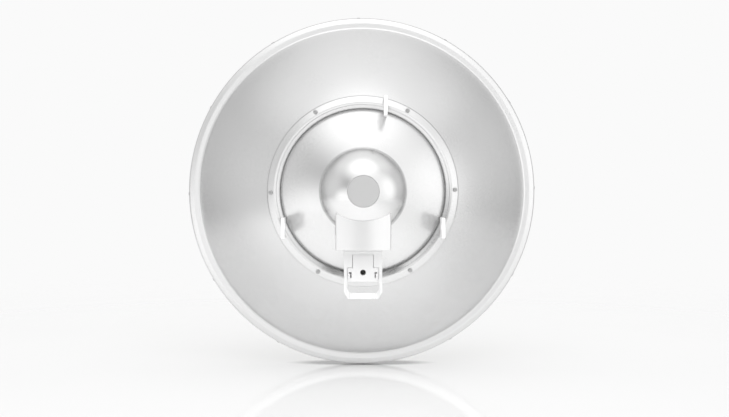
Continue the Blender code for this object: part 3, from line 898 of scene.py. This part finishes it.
class DISH_OT_rim(bpy.types.Operator):
    """Build the brushed rim band with its visor, and its twelve screws"""

    bl_idname = "dish.rim"
    bl_label = "Rim band and visor"

    def execute(self, context):
        def section(angle):
            line = rounded(
                [
                    (RIM_R, visor_edge(angle), 0.0),
                    (RIM_R, -0.0010, 0.0),
                    (RIM_R - 0.0004, -0.0080, 0.0),
                    (RIM_R - 0.0018, -0.0192, 0.0055),
                    (BAND_LIP_R + 0.0085, -0.0224, 0.0060),
                    (BAND_LIP_R + 0.0005, dish_y(BAND_LIP_R) - 0.0012, 0.0030),
                    (BAND_LIP_R - 0.0018, dish_y(BAND_LIP_R - 0.0018) - 0.0003, 0.0),
                ],
                closed=False,
                count=8,
            )
            return sheet_section(line, SHEET, 0.0006)

        band = new_object("brushed_rim", lofted("brushed_rim", section, looks().around * 2))
        finish_piece(band, HEAD, brushed_band(), ["rim_band", "visor"])
        head = cross_head("rim_screw", looks().rim_screw, 0.0004, 0.0006)
        screws = screw_circle(
            "rim_screws", head, 12, RIM_R - 0.0006, math.radians(1.0), -0.0105, False,
            fastener_steel(),
        )
        finish_piece(screws, HEAD, fastener_steel())
        return {"FINISHED"}


class DISH_OT_radome(bpy.types.Operator):
    """Build the shallow radome"""

    bl_idname = "dish.radome"
    bl_label = "Radome"

    def execute(self, context):
        rise = RADOME_CROWN
        sphere = (RADOME_R * RADOME_R + rise * rise) / (2 * rise)
        top = RADOME_EDGE_Y + rise

        def cap_y(radius):
            return top - sphere + math.sqrt(sphere * sphere - radius * radius)

        line = [(RADOME_R, RADOME_SKIRT_Y, 0.0), (RADOME_R, cap_y(RADOME_R), 0.0020)]
        line += [(r, cap_y(r), 0.0) for r in steps(RADOME_R - 0.004, 0.0, 40)]
        outer = rounded(line, closed=False, count=6)
        inner = [(max(r - RADOME_SHEET * (r / RADOME_R) ** 8, 0.0), y - RADOME_SHEET)
                 for r, y in outer[1:]]
        inner[-1] = (0.0, outer[-1][1] - RADOME_SHEET)
        inner = [(RADOME_R - RADOME_SHEET, RADOME_SKIRT_Y)] + [
            point for point in inner if point[0] < RADOME_R - RADOME_SHEET - 0.0002
        ]
        section = list(reversed(outer)) + inner
        radome = new_object("radome_cover", turned("radome_cover", section))
        finish_piece(radome, HEAD, radome_moulding(), ["radome"])
        return {"FINISHED"}


class DISH_OT_ring(bpy.types.Operator):
    """Build the back ring, its bolts and the lugs"""

    bl_idname = "dish.ring"
    bl_label = "Back ring, bolts and lugs"

    def execute(self, context):
        section = rounded([
            (0.1446, -0.1640, 0.0010),
            (0.1445, -0.1728, 0.0012),
            (0.1498, -0.1754, 0.0002),
            (0.1502, -0.1749, 0.0002),
            (0.1506, -0.1763, 0.0002),
            (0.1544, -0.1779, 0.0030),
            (0.1652, -0.1722, 0.0010),
            (0.1666, -0.1698, 0.0008),
            (0.1666, -0.1612, 0.0040),
            (0.1622, -0.1560, 0.0010),
        ], count=8)
        ring = new_object("ring_tube", turned("ring_tube", section))
        drain = math.radians(42.0)
        down = Vector((0.0, math.sin(drain), -math.cos(drain)))
        centre = Vector((0.0, RING_Y, -RING_R))
        hole = rod_mesh("tool", 0.0021, centre + down * 0.006, centre + down * 0.014, 24)
        boolean(ring, [new_object("tool", hole)])
        finish_piece(ring, HEAD, silver_paint(), ["back_ring"])
        seat = RING_Y - 0.0092
        head = cross_head("ring_bolt", looks().ring_bolt, 0.0026, 0.0022)
        bolts = screw_circle(
            "ring_bolts", head, 6, 0.1602, math.radians(0.9), seat, True, fastener_steel(), 5
        )
        replaced = [f"ring_bolt_{i + 1}" for i in range(6)]
        finish_piece(bolts, HEAD, fastener_steel(), replaced)
        for node in ("top_lug", "left_lug", "right_lug"):
            lug = softened(node, node + "_plate", 0.0020, 5)
            finish_piece(lug, HEAD, lug_white_with_painted_light(), [node])
        return {"FINISHED"}


class DISH_OT_dome(bpy.types.Operator):
    """Build the rear dome, its cap and the screws in its seam"""

    bl_idname = "dish.dome"
    bl_label = "Rear dome"

    def execute(self, context):
        line = [(DOME_R, DOME_FRONT_Y, 0.0)]
        last = math.acos(DOME_CAP_R / DOME_R)
        for angle in steps(0.0, last, 40):
            line.append((
                DOME_R * math.cos(angle), DOME_CENTRE_Y - DOME_DEPTH * math.sin(angle), 0.0
            ))
        section = sheet_section([(r, y) for r, y, _ in line], DOME_SHEET, 0.0006)
        dome = new_object("dome_shell", turned("dome_shell", section, 192))
        cut = box_tool((-0.0430, -0.30, -0.12), (0.0430, -0.19, -0.0535))
        boolean(dome, [cut])
        finish_piece(dome, HEAD, housing_paint(), ["rear_dome"])
        cap_r = DOME_CAP_R - GAP
        seat = DOME_CENTRE_Y - DOME_DEPTH * math.sin(last)
        section = [(0.0, seat + 0.003), (cap_r - 0.003, seat + 0.003), (cap_r - 0.0005, seat + 0.0004)]
        for radius in steps(cap_r, 0.0, 12):
            bow = DOME_DEPTH * math.sqrt(1.0 - (radius / DOME_R) ** 2)
            section.append((radius, DOME_CENTRE_Y - bow))
        cap = new_object("dome_disc", turned("dome_disc", section, 96))
        finish_piece(cap, HEAD, cap_disc(), ["dome_cap"])
        head = cross_head("seam_screw", 0.0022, 0.0003, 0.0008)
        screws = screw_circle(
            "seam_screws", head, 3, DOME_R, math.radians(72.8), DOME_FRONT_Y - 0.0032, False,
            fastener_steel(), 9,
        )
        finish_piece(screws, HEAD, fastener_steel())
        return {"FINISHED"}


class DISH_OT_shroud(bpy.types.Operator):
    """Build the shroud, its dark liner and the pivot heads"""

    bl_idname = "dish.shroud"
    bl_label = "Shroud"

    def execute(self, context):
        for node, slot, material in (
            ("shroud", "white_plastic", pearl_moulding()),
            ("shroud_liner", "dark_plastic", dark_liner_and_bore_shade()),
            ("left_pivot_pin", "white_plastic", white_moulding()),
            ("right_pivot_pin", "white_plastic", white_moulding()),
        ):
            piece = softened(node, node + "_finish", 0.0005)
            finish_piece(piece, HEAD, material, [node])
        return {"FINISHED"}


class DISH_OT_bracket(bpy.types.Operator):
    """Build the pole bracket"""

    bl_idname = "dish.bracket"
    bl_label = "Pole bracket"

    def execute(self, context):
        bore = ((0.0, ARM_BACK_Y - 0.002, TONGUE_HOLE_Z), (0.0, ARM_BORE_Y, TONGUE_HOLE_Z))
        tools = [new_object("tool", rod_mesh("tool", TONGUE_HOLE_R, *bore))]
        for side in (-1.0, 1.0):
            hook = [(side * x, z) for x, z in TONGUE_HOOK]
            tools.append(slab_tool(hook, ARM_BACK_Y - 0.002, ARM_BORE_Y))
        for node in (
            "bracket_neck", "left_cheek", "right_cheek", "left_clamp_bolt", "right_clamp_bolt",
            "clamp_arm", "pole_frame", "clamp_tongue",
        ):
            cuts = tools if node == "clamp_arm" else ()
            piece = softened(node, node + "_finish", 0.0006, tools=cuts)
            finish_piece(piece, BRACKET, white_moulding(), [node])
        # A dark disc at the bottom of the tongue's bore, painted shade that makes the hole darker than
        # its white walls would
        ends = ((0.0, ARM_BORE_Y - 0.0012, TONGUE_HOLE_Z), (0.0, ARM_BORE_Y - 0.0002, TONGUE_HOLE_Z))
        painted_shade = new_object("bore_plug", rod_mesh("bore_plug", TONGUE_HOLE_R - 0.0002, *ends))
        finish_piece(painted_shade, BRACKET, dark_liner_and_bore_shade())
        return {"FINISHED"}


class DISH_OT_stage(bpy.types.Operator):
    """Set the floor, the light and the camera"""

    bl_idname = "dish.stage"
    bl_label = "Stage"

    def execute(self, context):
        make_floor()
        make_light()
        make_camera()
        return {"FINISHED"}


def make_floor():
    shape = bmesh.new()
    bmesh.ops.create_circle(shape, cap_ends=True, segments=96, radius=2.6)
    bmesh.ops.translate(shape, vec=(0.0, RIM_Y, FLOOR_Z), verts=shape.verts)
    floor = new_object("studio_floor", mesh_from("studio_floor", shape))
    for polygon in floor.data.polygons:
        if polygon.normal.z < 0:
            floor.data.flip_normals()
    material = bpy.data.materials.new("studio_floor")
    material.use_nodes = True
    nodes, links = material.node_tree.nodes, material.node_tree.links
    shader = nodes["Principled BSDF"]
    shader.inputs["Roughness"].default_value = 0.07
    shader.inputs["Emission Color"].default_value = (1.0, 1.0, 1.0, 1.0)
    path = nodes.new("ShaderNodeLightPath")
    glow = nodes.new("ShaderNodeMapRange")
    glow.inputs["To Max"].default_value = FLOOR_GLOW_SEEN
    links.new(path.outputs["Is Camera Ray"], glow.inputs["Value"])
    place = nodes.new("ShaderNodeTexCoord")
    shift = nodes.new("ShaderNodeVectorMath")
    shift.operation = "SUBTRACT"
    shift.inputs[1].default_value = (0.0, RIM_Y, FLOOR_Z)
    links.new(place.outputs["Object"], shift.inputs[0])
    far = nodes.new("ShaderNodeVectorMath")
    far.operation = "LENGTH"
    links.new(shift.outputs[0], far.inputs[0])
    parts = nodes.new("ShaderNodeSeparateXYZ")
    links.new(shift.outputs[0], parts.inputs[0])
    towards = nodes.new("ShaderNodeMapRange")
    towards.interpolation_type = "SMOOTHSTEP"
    towards.inputs["From Min"].default_value = 0.02
    towards.inputs["From Max"].default_value = -0.45
    towards.inputs["To Min"].default_value = FLOOR_GLOW_FAR
    towards.inputs["To Max"].default_value = FLOOR_GLOW
    links.new(parts.outputs["Y"], towards.inputs["Value"])
    aside = nodes.new("ShaderNodeMapRange")
    aside.interpolation_type = "SMOOTHSTEP"
    aside.inputs["From Min"].default_value = 0.15
    aside.inputs["From Max"].default_value = 0.70
    aside.inputs["To Min"].default_value = 1.0
    aside.inputs["To Max"].default_value = 0.45
    links.new(parts.outputs["X"], aside.inputs["Value"])
    near = nodes.new("ShaderNodeMapRange")
    near.interpolation_type = "SMOOTHSTEP"
    near.inputs["From Max"].default_value = 0.42
    near.inputs["To Min"].default_value = FLOOR_GLOW_NEAR
    near.inputs["To Max"].default_value = 0.0
    links.new(far.outputs["Value"], near.inputs["Value"])
    other = math_node(nodes, links, "MULTIPLY", towards.outputs["Result"], aside.outputs["Result"])
    other = math_node(nodes, links, "ADD", other, near.outputs["Result"])
    links.new(other, glow.inputs["To Min"])
    # Painted contact shadow: an ellipse round the rim's foot darkens the floor's colour for camera
    # rays and its glow for all rays
    contact = nodes.new("ShaderNodeVectorMath")
    contact.operation = "MULTIPLY_ADD"
    contact.inputs[1].default_value = (1 / SHADE_WIDE, 1 / SHADE_DEEP, 0.0)
    contact.inputs[2].default_value = (0.0, SHADE_BEHIND / SHADE_DEEP, 0.0)
    links.new(shift.outputs[0], contact.inputs[0])
    reach = nodes.new("ShaderNodeVectorMath")
    reach.operation = "LENGTH"
    links.new(contact.outputs[0], reach.inputs[0])
    shade = nodes.new("ShaderNodeMapRange")
    shade.interpolation_type = "SMOOTHSTEP"
    shade.inputs["From Min"].default_value = 0.5
    shade.inputs["To Min"].default_value = FLOOR_SHADE
    shade.inputs["To Max"].default_value = 1.0
    links.new(reach.outputs["Value"], shade.inputs["Value"])
    seen = nodes.new("ShaderNodeMapRange")
    seen.inputs["To Min"].default_value = 1.0
    links.new(path.outputs["Is Camera Ray"], seen.inputs["Value"])
    links.new(shade.outputs["Result"], seen.inputs["To Max"])
    base = math_node(nodes, links, "MULTIPLY", seen.outputs["Result"], FLOOR_BASE)
    links.new(base, shader.inputs["Base Color"])
    lit = math_node(nodes, links, "MULTIPLY", glow.outputs["Result"], shade.outputs["Result"])
    links.new(lit, shader.inputs["Emission Strength"])
    fade = nodes.new("ShaderNodeMapRange")
    fade.interpolation_type = "SMOOTHSTEP"
    fade.inputs["From Min"].default_value = 0.7
    fade.inputs["From Max"].default_value = 2.2
    fade.inputs["To Min"].default_value = 1.0
    fade.inputs["To Max"].default_value = 0.0
    links.new(far.outputs["Value"], fade.inputs["Value"])
    links.new(fade.outputs["Result"], shader.inputs["Alpha"])
    floor.data.materials.append(material)


def make_light():
    """A studio of soft boxes on a dim room, which the camera itself sees as plain white."""
    world = bpy.data.worlds.new("studio")
    bpy.context.scene.world = world
    world.use_nodes = True
    nodes, links = world.node_tree.nodes, world.node_tree.links
    nodes.clear()
    out = nodes.new("ShaderNodeOutputWorld")
    room = nodes.new("ShaderNodeBackground")
    seen = nodes.new("ShaderNodeBackground")
    seen.inputs["Color"].default_value = (0.956, 0.956, 0.956, 1.0)
    mix = nodes.new("ShaderNodeMixShader")
    path = nodes.new("ShaderNodeLightPath")
    links.new(path.outputs["Is Camera Ray"], mix.inputs[0])
    links.new(room.outputs[0], mix.inputs[1])
    links.new(seen.outputs[0], mix.inputs[2])
    links.new(mix.outputs[0], out.inputs["Surface"])
    place = nodes.new("ShaderNodeTexCoord")
    total = None
    for polar, azimuth, half, strength in SOFT_BOXES.values():
        polar = math.radians(polar)
        azimuth = math.radians(azimuth)
        middle = Vector((
            math.sin(polar) * math.cos(azimuth), -math.cos(polar), math.sin(polar) * math.sin(azimuth)
        ))
        facing = nodes.new("ShaderNodeVectorMath")
        facing.operation = "DOT_PRODUCT"
        facing.inputs[1].default_value = middle
        links.new(place.outputs["Generated"], facing.inputs[0])
        glow = nodes.new("ShaderNodeMapRange")
        glow.interpolation_type = "SMOOTHSTEP"
        glow.inputs["From Min"].default_value = math.cos(math.radians(half))
        glow.inputs["To Max"].default_value = strength
        links.new(facing.outputs["Value"], glow.inputs["Value"])
        light = glow.outputs["Result"]
        total = math_node(nodes, links, "ADD", ROOM_LIGHT if total is None else total, light)
    links.new(total, room.inputs["Strength"])
    bpy.context.scene.view_settings.view_transform = "Standard"
    bpy.context.scene.view_settings.look = "None"


def make_camera():
    camera = bpy.data.cameras.new("photo_camera")
    camera.lens = CAMERA_LENS
    camera.sensor_width = CAMERA_SENSOR
    aside = CAMERA_ASIDE * CAMERA_LENS / CAMERA_SENSOR / CAMERA_BACK
    camera.shift_x = (PHOTO_WIDTH / 2 - DISH_PIXEL_X) / PHOTO_WIDTH - aside.x
    camera.shift_y = -(PHOTO_HEIGHT / 2 - DISH_PIXEL_Y) / PHOTO_WIDTH - aside.z
    camera.clip_end = 50.0
    obj = bpy.data.objects.new("photo_camera", camera)
    obj.location = RIM_CENTRE - Vector((0.0, CAMERA_BACK, 0.0)) + CAMERA_ASIDE
    obj.rotation_euler = (math.radians(90.0), 0.0, 0.0)
    bpy.context.scene.collection.objects.link(obj)
    bpy.context.scene.camera = obj


PIECES = (
    DISH_OT_stage,
    DISH_OT_reflector,
    DISH_OT_rim,
    DISH_OT_radome,
    DISH_OT_ring,
    DISH_OT_dome,
    DISH_OT_shroud,
    DISH_OT_bracket,
)


class DISH_PT_panel(bpy.types.Panel):
    """Lists the pieces of the dish antenna and their sizes and colours"""

    bl_idname = "DISH_PT_panel"
    bl_label = "Dish antenna"
    bl_space_type = "VIEW_3D"
    bl_region_type = "UI"
    bl_category = "Dish"

    def draw(self, context):
        layout = self.layout
        for name in DishLooks.__annotations__:
            layout.prop(context.scene.dish_looks, name)
        for piece in PIECES:
            layout.operator(piece.bl_idname)


CLASSES = (DishLooks, *PIECES, DISH_PT_panel)


def register():
    for item in CLASSES:
        bpy.utils.register_class(item)
    bpy.types.Scene.dish_looks = PointerProperty(type=DishLooks)


def unregister():
    del bpy.types.Scene.dish_looks
    for item in reversed(CLASSES):
        bpy.utils.unregister_class(item)


def main():
    register()
    bpy.ops.dish.stage()
    bpy.ops.dish.reflector()
    bpy.ops.dish.rim()
    bpy.ops.dish.radome()
    bpy.ops.dish.ring()
    bpy.ops.dish.dome()
    bpy.ops.dish.shroud()
    bpy.ops.dish.bracket()


if __name__ == "__main__":
    main()
